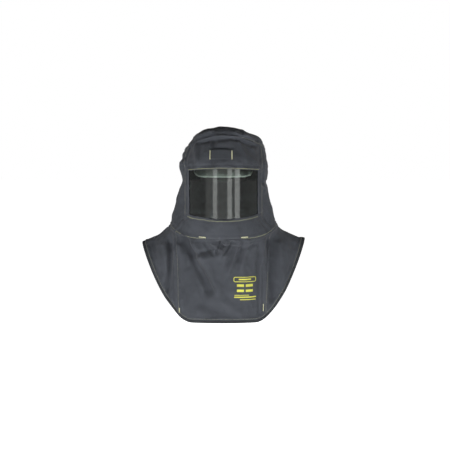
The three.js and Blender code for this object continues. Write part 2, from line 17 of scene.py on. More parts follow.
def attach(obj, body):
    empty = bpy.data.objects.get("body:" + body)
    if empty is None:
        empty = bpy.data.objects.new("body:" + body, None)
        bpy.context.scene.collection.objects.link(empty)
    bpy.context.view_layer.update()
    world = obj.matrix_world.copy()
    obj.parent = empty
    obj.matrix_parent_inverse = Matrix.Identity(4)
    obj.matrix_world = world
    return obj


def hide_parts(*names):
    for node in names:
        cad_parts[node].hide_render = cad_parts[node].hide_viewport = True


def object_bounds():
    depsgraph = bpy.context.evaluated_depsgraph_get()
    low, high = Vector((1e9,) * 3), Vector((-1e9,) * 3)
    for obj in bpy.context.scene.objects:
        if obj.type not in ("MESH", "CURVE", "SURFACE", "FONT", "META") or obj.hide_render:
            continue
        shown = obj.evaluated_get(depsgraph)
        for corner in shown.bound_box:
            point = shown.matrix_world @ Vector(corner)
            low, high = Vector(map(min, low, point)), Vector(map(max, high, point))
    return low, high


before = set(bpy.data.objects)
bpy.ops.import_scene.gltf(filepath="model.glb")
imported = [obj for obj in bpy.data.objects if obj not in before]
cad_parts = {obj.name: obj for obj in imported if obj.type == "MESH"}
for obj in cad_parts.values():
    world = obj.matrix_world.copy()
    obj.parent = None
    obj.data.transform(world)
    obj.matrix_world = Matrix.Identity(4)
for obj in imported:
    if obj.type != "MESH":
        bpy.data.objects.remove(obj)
cad_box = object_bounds()
MM = 0.001
print("nodes", len(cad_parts), "box", [[round(v, 3) for v in corner] for corner in cad_box])

# %% [markdown]
# The camera stands about three metres in front of the hood and looks down on it by five degrees, with a
# lens long enough to keep the shoulders from bulging. It could be placed by its focal length, but its
# distance, its angle and the width that it takes in are easier to judge, so they are the named values,
# and the focal length follows.

# %% Camera
VIEW_DISTANCE = 3.0
VIEW_WIDTH = 1.5525
VIEW_ELEVATION = math.radians(5)
VIEW_CENTRE = Vector((0.005, 0, -0.271))

camera_data = bpy.data.cameras.new("studio_camera")
camera_data.lens = camera_data.sensor_width * VIEW_DISTANCE / VIEW_WIDTH
camera = bpy.data.objects.new("studio_camera", camera_data)
to_camera = Vector((0, -math.cos(VIEW_ELEVATION), math.sin(VIEW_ELEVATION)))
camera.location = VIEW_CENTRE + to_camera * VIEW_DISTANCE
camera.rotation_euler = to_camera.to_track_quat("Z", "Y").to_euler()
bpy.context.scene.collection.objects.link(camera)
bpy.context.scene.camera = camera
print("focal length", round(camera_data.lens, 1), "mm")

# %% [markdown]
# A studio shot on white has a floor and a background that burn out to one pale tone. Lights could do
# that, but they would flood the cloth from all sides and flatten its folds. So the floor glows, and
# only where the camera sees it, which a Light Path node tells. In a mirrored ray it is a dim grey, so
# that the lens stays dark where no light stands.

# %% Floor
FLOOR_DROP = 0.62
FLOOR_REACH = 30
MIRRORED_ROOM = 0.14
floor_z = cad_box[0][2] - FLOOR_DROP
floor_mesh = bpy.data.meshes.new("studio_floor")
bm = bmesh.new()
bmesh.ops.create_grid(bm, x_segments=1, y_segments=1, size=FLOOR_REACH)
bmesh.ops.translate(bm, verts=bm.verts, vec=(0, 0, floor_z))
bm.to_mesh(floor_mesh)
bm.free()
floor = bpy.data.objects.new("studio_floor", floor_mesh)
bpy.context.scene.collection.objects.link(floor)

pale = bpy.data.materials.new("pale_floor")
pale.use_nodes = True
pale_shader = pale.node_tree.nodes["Principled BSDF"]
pale_shader.inputs["Base Color"].default_value = (0.8, 0.8, 0.8, 1)
pale_shader.inputs["Roughness"].default_value = 0.9
pale_shader.inputs["Emission Strength"].default_value = 1
pale_links = pale.node_tree.links
floor_seen = pale.node_tree.nodes.new("ShaderNodeLightPath")
floor_tone = pale.node_tree.nodes.new("ShaderNodeMath")
floor_tone.operation = "MULTIPLY_ADD"
floor_tone.inputs[1].default_value = MIRRORED_ROOM
pale_links.new(floor_seen.outputs["Is Glossy Ray"], floor_tone.inputs[0])
pale_links.new(floor_seen.outputs["Is Camera Ray"], floor_tone.inputs[2])
pale_links.new(floor_tone.outputs[0], pale_shader.inputs["Emission Color"])
floor_mesh.materials.append(pale)
print("floor at", round(floor_z, 3))

# %% [markdown]
# The background is a world with the same two tones: white for the camera, and dim grey in a mirrored
# ray. An upright wall could do it too, but a camera on another side would look past it. All other rays
# find a darker world, which lifts the shadows a little. The Standard view keeps white white.

# %% World
AMBIENT = 0.11
world = bpy.data.worlds.new("white_studio")
world.use_nodes = True
bpy.context.scene.world = world
world_nodes = world.node_tree.nodes
world_links = world.node_tree.links
seen = world_nodes.new("ShaderNodeLightPath")
backdrop = world_nodes["Background"]
backdrop.inputs["Color"].default_value = (1, 1, 1, 1)
room_tone = world_nodes.new("ShaderNodeMix")
room_tone.data_type = "FLOAT"
room_tone.inputs["A"].default_value = AMBIENT
room_tone.inputs["B"].default_value = 1.0
world_links.new(seen.outputs["Is Camera Ray"], room_tone.inputs["Factor"])
mirror_tone = world_nodes.new("ShaderNodeMix")
mirror_tone.data_type = "FLOAT"
mirror_tone.inputs["B"].default_value = MIRRORED_ROOM
world_links.new(seen.outputs["Is Glossy Ray"], mirror_tone.inputs["Factor"])
world_links.new(room_tone.outputs["Result"], mirror_tone.inputs["A"])
world_links.new(mirror_tone.outputs["Result"], backdrop.inputs["Strength"])
bpy.context.scene.view_settings.view_transform = "Standard"
print("world tones: ambient", AMBIENT, "mirrored", MIRRORED_ROOM)

# %% [markdown]
# A bent lens mirrors whatever lights it, so the lights are split by what they may do. One tall panel
# behind the camera and three brighter strips before it are there for the lens alone, and leave its
# upright streaks. The panel is wide, because a bent sheet turns a mirrored ray twice as far as itself.
# Lights low in front, at both sides, graze the folds, a broad one fills them, and one behind rims the
# shoulders: the lens doesn't show these. The last one shines in through the lens, on the peak of the
# cap.

# %% Lights
def soft_light(name, place, aim, size, power):
    """A rectangular studio light that faces a point."""
    data = bpy.data.lights.new(name, "AREA")
    data.shape = "RECTANGLE"
    data.size, data.size_y = size
    data.energy = power
    light = bpy.data.objects.new(name, data)
    light.location = place
    light.rotation_euler = (Vector(place) - Vector(aim)).to_track_quat("Z", "Y").to_euler()
    bpy.context.scene.collection.objects.link(light)
    return light


CHEST = (0, 0, -0.35)
PEAK = (0, -0.1, -0.15)
PANEL_Y, PANEL_Z, PANEL_HEIGHT = -4.2, 0.3, 3.2
STRIP_GAP = 0.02
# The lens mirrors these, and they don't light the cloth. Columns: name, x, gap to the panel, width, power
for name, strip_x, gap, strip_width, power in [
    ("panel_behind_camera", -0.39, 0, 8.9, 24),
    ("left_strip", -1.75, STRIP_GAP, 1.0, 12),
    ("middle_strip", 1.25, STRIP_GAP, 0.95, 12),
    ("right_strip", 3.3, STRIP_GAP, 1.7, 22),
]:
    place, ahead = (strip_x, PANEL_Y + gap, PANEL_Z), (strip_x, 0, PANEL_Z)
    strip = soft_light(name, place, ahead, (strip_width, PANEL_HEIGHT), power)
    strip.visible_diffuse = False
# These shape the cloth, and the lens neither mirrors nor passes them. Columns: name, place, size, power
for name, place, size, power in [
    ("key_from_left", (-1.5, -1.7, -0.8), (1.2, 0.6), 31),
    ("fill_from_right", (1.6, -1.7, -0.8), (1.2, 0.6), 24),
    ("front_fill", (0.0, -3.2, -0.8), (2.6, 0.6), 38),
    ("back_light", (1.2, 3.0, 0.1), (2.4, 1.6), 60),
]:
    light = soft_light(name, place, CHEST, size, power)
    light.visible_camera = light.visible_glossy = light.visible_transmission = False
# This one only reaches what stands behind the lens. It is too high for the lens to mirror it to the camera.
inside_light = soft_light("light_through_lens", (0.2, -2.2, 1.3), PEAK, (1.6, 1.2), 95)
inside_light.visible_camera = inside_light.visible_diffuse = inside_light.visible_glossy = False

# %% [markdown]
# Cloth, tape and webbing share one effect: yarns that cross. A node group makes it once, with the
# yarn's width as an input. A picture of cloth could be laid on, but it would need a flat map of each
# panel. Instead two sets of waves cross at a slant, and their weighted sum gives the broken ribs of a
# twill. The group reads Object coordinates, so the yarns have the same size on every panel.

# %% Node group for the weave
# How much y counts beside x, so that the yarns run on round the hood
ROUND_SHARE = 0.83
CROSS_SLANT = 0.5
RIB_SHARE, CROSS_SHARE = 0.7, 0.3


def new_group(name, inputs, outputs):
    """A shader node group for plain values, with its input and output nodes."""
    group = bpy.data.node_groups.new(name, "ShaderNodeTree")
    for label, value in inputs.items():
        socket = group.interface.new_socket(label, in_out="INPUT", socket_type="NodeSocketFloat")
        socket.default_value = value
    for label in outputs:
        group.interface.new_socket(label, in_out="OUTPUT", socket_type="NodeSocketFloat")
    return group, group.nodes.new("NodeGroupInput"), group.nodes.new("NodeGroupOutput")


def maths(tree, operation, a, b=None):
    """A Math node on two sockets or numbers. Returns its output."""
    node = tree.nodes.new("ShaderNodeMath")
    node.operation = operation
    for socket, value in zip(node.inputs, (a, b)):
        if isinstance(value, (int, float)):
            socket.default_value = value
        elif value is not None:
            tree.links.new(value, socket)
    return node.outputs[0]


def twill_group():
    """Height and yarn mask of a twill, from 0 to 1: ribs along one slant, broken by yarns along another."""
    tree, given, result = new_group("twill_weave", {"Yarn Width": 0.0008}, ["Height", "Yarn"])
    place = tree.nodes.new("ShaderNodeTexCoord")
    split = tree.nodes.new("ShaderNodeSeparateXYZ")
    tree.links.new(place.outputs["Object"], split.inputs[0])
    x, y, z = split.outputs
    around = maths(tree, "ADD", x, maths(tree, "MULTIPLY", y, ROUND_SHARE))
    turns = maths(tree, "DIVIDE", 2 * math.pi, given.outputs["Yarn Width"])
    rib = maths(tree, "SINE", maths(tree, "MULTIPLY", maths(tree, "ADD", z, around), turns))
    slant = maths(tree, "SUBTRACT", z, maths(tree, "MULTIPLY", around, CROSS_SLANT))
    cross = maths(tree, "SINE", maths(tree, "MULTIPLY", slant, turns))
    ribs = maths(tree, "MULTIPLY", rib, RIB_SHARE)
    woven = maths(tree, "ADD", ribs, maths(tree, "MULTIPLY", cross, CROSS_SHARE))
    for wave, label in ((woven, "Height"), (rib, "Yarn")):
        # Half the wave, to which the node's third socket adds its own 0.5
        tree.links.new(maths(tree, "MULTIPLY_ADD", wave, 0.5), result.inputs[label])
    return tree


TWILL = twill_group()
print("weave group nodes", len(TWILL.nodes))

# %% [markdown]
# Worn cloth is never one tone. Broad patches are a little lighter where it has been handled, and the
# tops of folds and edges pale first. Both could be painted by hand, but a group does it for every piece
# at once: slow noise for the patches, and Pointiness for the raised edges.

# %% Node group for patches and wear
FLAT_POINTINESS = 0.5


def wear_group():
    """A patch value round 0.5, and a mask of raised edges."""
    inputs = {"Patch Scale": 7.0, "Edge Width": 0.06}
    tree, given, result = new_group("patches_and_wear", inputs, ["Patch", "Edge"])
    place = tree.nodes.new("ShaderNodeTexCoord")
    patch = tree.nodes.new("ShaderNodeTexNoise")
    patch.inputs["Detail"].default_value = 5
    patch.inputs["Roughness"].default_value = 0.6
    tree.links.new(place.outputs["Object"], patch.inputs["Vector"])
    tree.links.new(given.outputs["Patch Scale"], patch.inputs["Scale"])
    tree.links.new(patch.outputs["Fac"], result.inputs["Patch"])
    shape = tree.nodes.new("ShaderNodeNewGeometry")
    raised = maths(tree, "SUBTRACT", shape.outputs["Pointiness"], FLAT_POINTINESS)
    edge = maths(tree, "DIVIDE", raised, given.outputs["Edge Width"])
    clamped = tree.nodes.new("ShaderNodeClamp")
    tree.links.new(edge, clamped.inputs["Value"])
    tree.links.new(clamped.outputs[0], result.inputs["Edge"])
    return tree


WEAR = wear_group()
print("wear group nodes", len(WEAR.nodes))

# %% [markdown]
# Each finish is one material with its own Principled shader. Cloth is rough, with a little sheen from
# the fibres that stand up. The colour mixes two tones by patch and lightens the raised edges, and the
# weave feeds a bump. One function makes all the woven finishes, because thread, tape and webbing differ
# from cloth in tone and yarn alone.

# %% Cloth finishes
PATCH_LOW, PATCH_HIGH = 0.32, 0.68
WORN_SHARE, YARN_SHARE = 0.5, 0.22
WEAVE_HEIGHT = 0.0004


def group_node(tree, group, **values):
    """A group placed in a material, with values for its inputs."""
    node = tree.nodes.new("ShaderNodeGroup")
    node.node_tree = group
    for label, value in values.items():
        node.inputs[label.replace("_", " ")].default_value = value
    return node


def mixed(tree, factor, a, b):
    """Two colours, or a colour and a socket, mixed by a factor socket."""
    node = tree.nodes.new("ShaderNodeMix")
    node.data_type = "RGBA"
    tree.links.new(factor, node.inputs["Factor"])
    for label, value in (("A", a), ("B", b)):
        socket = [s for s in node.inputs if s.name == label and s.type == "RGBA"][0]
        if isinstance(value, tuple):
            socket.default_value = (*value, 1)
        else:
            tree.links.new(value, socket)
    return [s for s in node.outputs if s.type == "RGBA"][0]


def cloth_finish(name, dark, light, worn, yarn, bump, roughness, sheen):
    """A woven finish of two tones, with a third on its raised edges, and yarns of the given width."""
    material = bpy.data.materials.new(name)
    material.use_nodes = True
    tree = material.node_tree
    shader = tree.nodes["Principled BSDF"]
    wear = group_node(tree, WEAR, Patch_Scale=9.0, Edge_Width=0.09)
    weave = group_node(tree, TWILL, Yarn_Width=yarn)
    spread = tree.nodes.new("ShaderNodeMapRange")
    spread.inputs["From Min"].default_value = PATCH_LOW
    spread.inputs["From Max"].default_value = PATCH_HIGH
    tree.links.new(wear.outputs["Patch"], spread.inputs["Value"])
    tone = mixed(tree, spread.outputs[0], dark, light)
    edged = mixed(tree, maths(tree, "MULTIPLY", wear.outputs["Edge"], WORN_SHARE), tone, worn)
    yarned = mixed(tree, maths(tree, "MULTIPLY", weave.outputs["Yarn"], YARN_SHARE), edged, light)
    tree.links.new(yarned, shader.inputs["Base Color"])
    relief = tree.nodes.new("ShaderNodeBump")
    relief.inputs["Strength"].default_value = bump
    relief.inputs["Distance"].default_value = WEAVE_HEIGHT
    tree.links.new(weave.outputs["Height"], relief.inputs["Height"])
    tree.links.new(relief.outputs[0], shader.inputs["Normal"])
    shader.inputs["Roughness"].default_value = roughness
    shader.inputs["Sheen Weight"].default_value = sheen
    shader.inputs["Sheen Roughness"].default_value = 0.5
    shader.inputs["Specular IOR Level"].default_value = 0.25
    return material


# In each: name, dark, light and worn tones, yarn width, strength of the weave, roughness, sheen
CLOTH = cloth_finish(
    "hood_cloth", (0.046, 0.05, 0.058), (0.064, 0.069, 0.08), (0.095, 0.101, 0.114), 0.0011, 0.6, 0.88, 0.1
)
TAPE = cloth_finish(
    "binding_tape", (0.024, 0.026, 0.029), (0.037, 0.04, 0.044), (0.065, 0.067, 0.07), 0.0008, 0.5, 0.85, 0.05
)
WEBBING = cloth_finish(
    "strap_webbing", (0.02, 0.022, 0.024), (0.036, 0.038, 0.042), (0.07, 0.07, 0.075), 0.0016, 0.8, 0.8, 0.05
)
THREAD = cloth_finish(
    "seam_thread", (0.38, 0.40, 0.17), (0.48, 0.50, 0.24), (0.55, 0.56, 0.3), 0.0005, 0.6, 0.6, 0.1
)
DULL_THREAD = cloth_finish(
    "dull_seam_thread", (0.17, 0.175, 0.12), (0.23, 0.235, 0.165), (0.26, 0.26, 0.2), 0.0005, 0.6, 0.6, 0.1
)
TACK_THREAD = cloth_finish(
    "tack_thread", (0.66, 0.65, 0.36), (0.78, 0.77, 0.48), (0.82, 0.8, 0.55), 0.0005, 0.6, 0.6, 0.1
)
print("cloth finishes", [m.name for m in bpy.data.materials if m.name != "pale_floor"])

# %% [markdown]
# The hard finishes are the moulded cap, black nylon for the headband, the printed marks, and the lens.
# The cap's shell is a darker grey than its plastic, as painted shade, and the bead on its peak a pale
# grey, as a painted highlight: lit and shaded copies of one plastic. Moulded plastic has fine grain and
# shallow scuffs, so its roughness varies. The lens is a clear sheet that absorbs some light: its tint
# sits in the base colour, its transmission is whole, and a thin hard coat gives it a sharp mirror image.
# Mixing in a see-through shader would be faster, but it bends and mirrors nothing.

# %% Hard finishes
GLOSSIEST, DULLEST = 0.8, 1.25
GRAIN_HEIGHT = 0.0003


def moulded_finish(name, base, worn, roughness, grain_scale, grain):
    """Moulded plastic with a fine grain, scuffed edges and an uneven gloss."""
    material = bpy.data.materials.new(name)
    material.use_nodes = True
    tree = material.node_tree
    shader = tree.nodes["Principled BSDF"]
    wear = group_node(tree, WEAR, Patch_Scale=14.0, Edge_Width=0.12)
    tree.links.new(mixed(tree, wear.outputs["Edge"], base, worn), shader.inputs["Base Color"])
    gloss = tree.nodes.new("ShaderNodeMapRange")
    gloss.inputs["To Min"].default_value = roughness * GLOSSIEST
    gloss.inputs["To Max"].default_value = roughness * DULLEST
    tree.links.new(wear.outputs["Patch"], gloss.inputs["Value"])
    tree.links.new(gloss.outputs[0], shader.inputs["Roughness"])
    place = tree.nodes.new("ShaderNodeTexCoord")
    pits = tree.nodes.new("ShaderNodeTexNoise")
    pits.inputs["Scale"].default_value = grain_scale
    tree.links.new(place.outputs["Object"], pits.inputs["Vector"])
    relief = tree.nodes.new("ShaderNodeBump")
    relief.inputs["Strength"].default_value = grain
    relief.inputs["Distance"].default_value = GRAIN_HEIGHT
    tree.links.new(pits.outputs["Fac"], relief.inputs["Height"])
    tree.links.new(relief.outputs[0], shader.inputs["Normal"])
    return material


def lens_finish():
    """Tinted, hard-coated polycarbonate with faint smears."""
    material = bpy.data.materials.new("tinted_lens")
    material.use_nodes = True
    tree = material.node_tree
    shader = tree.nodes["Principled BSDF"]
    shader.inputs["Base Color"].default_value = (0.62, 0.69, 0.64, 1)
    shader.inputs["Transmission Weight"].default_value = 1
    shader.inputs["IOR"].default_value = 1.5
    shader.inputs["Coat Weight"].default_value = 0.6
    shader.inputs["Coat Roughness"].default_value = 0.02
    smear = group_node(tree, WEAR, Patch_Scale=5.0, Edge_Width=0.1)
    haze = tree.nodes.new("ShaderNodeMapRange")
    haze.inputs["To Min"].default_value = 0.0
    haze.inputs["To Max"].default_value = 0.04
    tree.links.new(smear.outputs["Patch"], haze.inputs["Value"])
    tree.links.new(haze.outputs[0], shader.inputs["Roughness"])
    return material


# In each: name, base tone, worn tone, roughness, scale of the grain, strength of the grain
# The shell is darker than its light grey plastic: painted shade.
CAP_SHELL_SHADED = moulded_finish("cap_plastic_painted_shade", (0.38, 0.40, 0.39), (0.5, 0.52, 0.51), 0.3, 900, 0.12)
# The bead's pale grey is a painted highlight on the same plastic.
BEAD_PAINTED_HIGHLIGHT = moulded_finish("bead_painted_highlight", (0.78, 0.81, 0.80), (0.85, 0.87, 0.86), 0.35, 900, 0.1)
BLACK = moulded_finish("suspension_plastic", (0.012, 0.013, 0.014), (0.05, 0.05, 0.05), 0.45, 1400, 0.3)
INK = moulded_finish("printed_ink", (0.60, 0.60, 0.08), (0.66, 0.66, 0.14), 0.6, 2500, 0.3)
LENS = lens_finish()
print("materials", len(bpy.data.materials))

# %% [markdown]
# Every cloth piece starts from the CAD's own solid, so it can't drift from its place, and building new
# sheets by hand would repeat the CAD's work. A solid of cloth has an outer face, an inner face and
# narrow rims. Sharp edges divide them, and the outer one is the group of faces that turns most of its
# area away from the middle of the hood.

# %% The outer face of a CAD node
HOOD_CENTRE = Vector((0, 0, -0.25))
SHARP = math.radians(60)
MERGE_DISTANCE = 1e-5


def face_islands(bm):
    """Groups of faces that meet without a sharp edge."""
    left = set(bm.faces)
    islands = []
    while left:
        island, front = set(), [left.pop()]
        while front:
            face = front.pop()
            island.add(face)
            for edge in face.edges:
                if len(edge.link_faces) == 2 and edge.calc_face_angle(0) < SHARP:
                    for other in edge.link_faces:
                        if other in left:
                            left.discard(other)
                            front.append(other)
        islands.append(island)
    return islands


def outward(island):
    """How much area an island turns away from the middle of the hood."""
    away = {face: (face.calc_center_median() - HOOD_CENTRE).normalized() for face in island}
    return sum(face.calc_area() * face.normal.dot(away[face]) for face in island)


def outer_face(node):
    """A bmesh of the outer face of a CAD node's wall, still in triangles."""
    bm = bmesh.new()
    bm.from_mesh(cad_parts[node].data)
    bmesh.ops.remove_doubles(bm, verts=bm.verts, dist=MERGE_DISTANCE)
    skin = max(face_islands(bm), key=outward)
    bmesh.ops.delete(bm, geom=[f for f in bm.faces if f not in skin], context="FACES")
    return bm


trial = outer_face("bib_front")
print("bib triangles", len(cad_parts["bib_front"].data.polygons), "outer", len(trial.faces))

# %% [markdown]
# A grid of squares subdivides without ripples, and triangles don't, so the diagonals that cut the
# squares are dissolved. Blender's join_triangles judges each pair by its shape and errs where the grid
# is stretched. But once the three kinds of edge of one triangle are known, those of its neighbour
# follow: opposite edges of two joined triangles are of one kind. So the kinds are handed on from the
# plainest triangle to all the others, except round a pole.

# %% Triangles joined to squares
POLE_FACES = 9
BORDER, CROSS, DIAGONAL = range(3)


def third(face, edge):
    """The corner of a triangle that is not on an edge."""
    return [v for v in face.verts if v not in edge.verts][0]


def edge_between(face, a, b):
    """The edge of a face that joins two of its corners."""
    return [e for e in face.edges if a in e.verts and b in e.verts][0]


def at_pole(face):
    """Whether a face touches a point where many triangles meet."""
    return any(len(v.link_faces) > POLE_FACES for v in face.verts)


def first_triangle(bm):
    """The border triangle whose diagonal is plainest, and its edges' kinds: BORDER, CROSS and DIAGONAL."""
    best_score, best_face, kinds = -1, None, None
    for edge in bm.edges:
        face = edge.link_faces[0]
        if len(edge.link_faces) != 1 or at_pole(face):
            continue
        p, q = edge.verts
        r = third(face, edge)
        along = (q.co - p.co).normalized()
        slants = [abs((r.co - corner.co).normalized().dot(along)) for corner in (p, q)]
        score = abs(slants[0] - slants[1])
        if score > best_score:
            best_score, best_face = score, face
            cross, diagonal = (p, q) if slants[0] < slants[1] else (q, p)
            kinds = {edge: BORDER, edge_between(face, cross, r): CROSS}
            kinds[edge_between(face, diagonal, r)] = DIAGONAL
    return best_face, kinds


def join_squares(bm):
    """Dissolves the diagonals of a triangulated grid."""
    face, kinds = first_triangle(bm)
    seen_faces, front = {face}, [face]
    while front:
        face = front.pop()
        for edge in face.edges:
            for other in edge.link_faces:
                if other in seen_faces or at_pole(other):
                    continue
                p, q = edge.verts
                r, s = third(face, edge), third(other, edge)
                kinds[edge_between(other, q, s)] = kinds[edge_between(face, p, r)]
                kinds[edge_between(other, p, s)] = kinds[edge_between(face, q, r)]
                seen_faces.add(other)
                front.append(other)
    diagonals = [edge for edge, kind in kinds.items() if kind == DIAGONAL and len(edge.link_faces) == 2]
    bmesh.ops.dissolve_edges(bm, edges=diagonals, use_verts=False)


join_squares(trial)
print("bib skin faces", len(trial.faces), "squares", sum(len(f.verts) == 4 for f in trial.faces))

# %% [markdown]
# Folds are what make cloth look like cloth. A cloth simulation would make some, but not where they hang
# on this hood. The CAD holds the main ones, and the finer ones are added here after the grid has been
# subdivided. Each is a row in a table: where it starts and ends as seen from one side, how wide it is,
# and how far it stands out or in.

# %% Fine folds
# All lifts in the table are multiplied by this.
FOLD_STRENGTH = 2.8
# Columns: face, start x and z (y and z on a side face), end x and z, half width, lift, all in millimetres.
# A positive lift is a ridge, and a negative one is a valley.
FINE_FOLDS = [
    ("front", -160, -300, -148, -330, 8, 2.0),
    ("front", -128, -312, -108, -352, 9, -2.6),
    ("front", -100, -318, -70, -365, 10, 2.4),
    ("front", -60, -318, -36, -350, 7, -3.0),
    ("front", -38, -316, -12, -338, 6, 3.0),
    ("front", -12, -314, -22, -345, 5, -3.4),
    ("front", 8, -314, -8, -352, 6, 3.2),
    ("front", 26, -316, 6, -346, 5, -3.0),
    ("front", 54, -320, 18, -410, 8, 2.4),
    ("front", 62, -318, 48, -372, 8, -2.4),
    ("front", 84, -316, 60, -392, 10, 2.0),
    ("front", -21, -312, 2, -325, 4, -1.8),
    ("front", 2, -325, 51, -329, 5, -1.8),
    ("front", -82, -350, -30, -332, 8, -2.4),
    ("front", 61, -338, 99, -322, 6, -1.8),
    ("front", 31, -341, 12, -387, 7, -1.8),
    ("front", -64, -366, 20, -358, 12, 1.8),
    ("front", 30, -370, 12, -470, 18, -2.0),
    ("front", 66, -380, 74, -460, 16, 1.6),
    ("front", -70, -520, 10, -548, 14, -2.2),
    ("front", -30, -500, 50, -540, 16, 1.8),
    ("front", 116, -330, 116, -540, 6, -1.8),
    ("front", 123, -400, 123, -530, 4, 1.0),
    ("front", 129, -400, 129, -530, 4, -1.2),
    ("front", -147, -440, -121, -499, 8, -1.6),
    ("front", -80, -461, -67, -517, 9, -1.6),
    ("front", -142, -330, -140, -540, 8, 2.2),
    ("front", -152, -380, -146, -550, 7, -2.6),
    ("front", -196, -340, -172, -520, 10, 2.2),
    ("front", -240, -330, -226, -410, 14, -2.2),
    ("front", -181, -390, -188, -476, 9, -3.0),
    ("front", 214, -330, 206, -440, 12, 2.0),
    ("front", -127, -316, -48, -466, 13, -4.4),
    ("front", -94, -322, -22, -466, 16, 2.2),
    ("front", -152, -346, -92, -470, 12, 1.2),
    ("front", 151, -318, 161, -500, 10, -3.8),
    ("front", 131, -318, 129, -390, 8, 2.0),
    ("front", -179, -326, -181, -470, 9, -3.8),
    ("front", -161, -320, -151, -500, 9, 2.6),
    ("front", 190, -336, 194, -450, 12, 2.4),
    ("front", 124, -44, 130, -120, 5, -1.4),
    ("front", 134, -60, 137, -150, 5, 1.2),
    ("front", -128, -60, -134, -150, 6, -1.2),
    ("front", -60, 22, 40, 30, 12, -3.0),
    ("front", 40, 40, 92, 20, 8, 3.0),
    ("front", 36, 30, 96, 4, 7, -3.4),
    ("front", -96, 26, -40, 44, 9, 2.6),
    ("front", -104, 12, -52, 26, 8, -2.4),
    ("front", -30, 10, -34, -50, 9, -2.0),
    ("front", 52, 16, 70, -40, 9, 1.6),
    ("front", 66, 10, 100, -30, 9, -1.6),
    ("front", -44, -7, 28, -7, 4, -1.0),
    ("front", -92, 0, -84, -60, 9, 1.6),
    ("left", -100, -42, 60, -40, 9, -1.3),
    ("left", -100, -62, 60, -62, 6, -0.7),
    ("left", -100, -78, 60, -76, 10, 0.7),
    ("left", -110, -118, 50, -114, 12, -1.2),
    ("left", -90, -170, 40, -190, 14, 1.0),
    ("right", -100, -75, 60, -75, 6, -0.4),
    ("right", -100, -58, 60, -56, 10, 0.5),
    ("right", -110, -122, 50, -118, 10, -1.4),
    ("back", -90, -310, -60, -480, 16, -3.0),
    ("back", -40, -312, -20, -500, 18, 2.6),
    ("back", 30, -312, 44, -470, 16, -2.8),
    ("back", 84, -310, 70, -490, 18, 2.6),
    ("back", -110, -60, -20, -90, 14, -2.2),
    ("back", -10, -40, 100, -84, 16, 2.0),
    ("back", -120, -150, 30, -180, 18, 2.4),
    ("back", -20, -196, 120, -172, 14, -2.4),
    ("back", -100, -236, 90, -250, 12, 2.2),
]
print("fine folds", len(FINE_FOLDS), "valleys", sum(row[-1] < 0 for row in FINE_FOLDS))

# %% [markdown]
# A fold's section is a bell curve, and it fades past its ends in the same way. One seen from the front
# must not show at the back, so it also fades where the hood turns away from its face. Slow noise adds
# the unevenness that no table can list, and finer noise adds creases. The sum moves each point along
# its normal.

# %% How far the folds move the cloth
FOLD_CUT = 3
END_FADE = 1.5
SIDE_FADE = 0.05
NOISE_LIFT, NOISE_SIZE = 0.005, 0.055
CREASE_LIFT, CREASE_SIZE = 0.002, 0.018
# For each face: the axis that runs across it, the axis that it faces along, and which way
FACES = {"front": (0, 1, -1), "back": (0, 1, 1), "left": (1, 0, -1), "right": (1, 0, 1)}


def fine_lift(place):
    """How far the fine folds and the noise move the cloth at a point."""
    lift = NOISE_LIFT * noise.noise(place / NOISE_SIZE)
    for face, a0, z0, a1, z1, width, height in FINE_FOLDS:
        across_axis, facing_axis, sign = FACES[face]
        shown = min(1, max(0, sign * place[facing_axis]) / SIDE_FADE)
        if not shown:
            continue
        da, dz = place[across_axis] / MM - a0, place.z / MM - z0
        la, lz = a1 - a0, z1 - z0
        length = math.hypot(la, lz)
        along = (da * la + dz * lz) / length
        across = (da * lz - dz * la) / length / width
        past = max(-along, along - length, 0) / (END_FADE * width)
        if abs(across) < FOLD_CUT and past < FOLD_CUT:
            lift += shown * height * FOLD_STRENGTH * MM * math.exp(-across * across - past * past)
    return lift + CREASE_LIFT * noise.noise(place / CREASE_SIZE)


print("lift in the long bib valley, mm", round(fine_lift(Vector((-0.088, -0.17, -0.391))) / MM, 1))

# %% [markdown]
# A sewn edge isn't flat. It rolls under at the very edge, it is thick where the seam allowance lies
# behind it, the thread pulls it in beside that, and it puckers at right angles to the stitches. All
# four depend only on how far a point is from the nearest border, and on which point of the border that
# is, so one search tree gives them all. Modelling each by hand would have to be done again on every
# panel.

# %% The shape of a sewn edge
EDGE_ROLL, ROLL_WIDTH = 1.1 * MM, 1.5 * MM
WELT_LIFT, WELT_WIDTH, WELT_SLOPE = 0.7 * MM, 8 * MM, 1 * MM
PULL_DEPTH, PULL_PLACE, PULL_WIDTH = 1.1 * MM, 12 * MM, 4 * MM
PUCKER_LIFT, PUCKER_LENGTH, PUCKER_BAND = 1.5 * MM, 13 * MM, 20 * MM
PUCKER_START = 4 * MM
PUCKER_SHIFT = Vector((7, 3, 1))


def seam_profile(distance):
    """How far a sewn edge stands off the cloth at a distance from the border."""
    roll = EDGE_ROLL * math.exp(-((distance / ROLL_WIDTH) ** 2))
    welt = WELT_LIFT / (1 + math.exp((distance - WELT_WIDTH) / WELT_SLOPE))
    pull = PULL_DEPTH * math.exp(-(((distance - PULL_PLACE) / PULL_WIDTH) ** 2))
    return welt - roll - pull


def pucker(border_point, distance):
    """Ripples that run out from the stitches, square to the border, as they follow the border point alone."""
    ripple = noise.noise(border_point / PUCKER_LENGTH + PUCKER_SHIFT)
    return PUCKER_LIFT * ripple * min(1, distance / PUCKER_START) * math.exp(-distance / PUCKER_BAND)


print("seam profile in mm", [round(seam_profile(d * MM) / MM, 2) for d in (0, 2, 5, 8, 12, 18)])

# %% [markdown]
# Two things are done along a panel's border. It is grown a little: into the next panel, because a seam
# joins them and the CAD keeps them apart, and into the tape at the hem. And it is cut at its corners
# into runs, each of which is one side that a row of stitches can follow. The direction into the panel
# comes from the border points' neighbours.

# %% Borders of a skin
CORNER = math.radians(30)
SEAM_GROWTH = 1.6 * MM
HEM_GROWTH = 4 * MM
HEM_REACH = 3 * MM


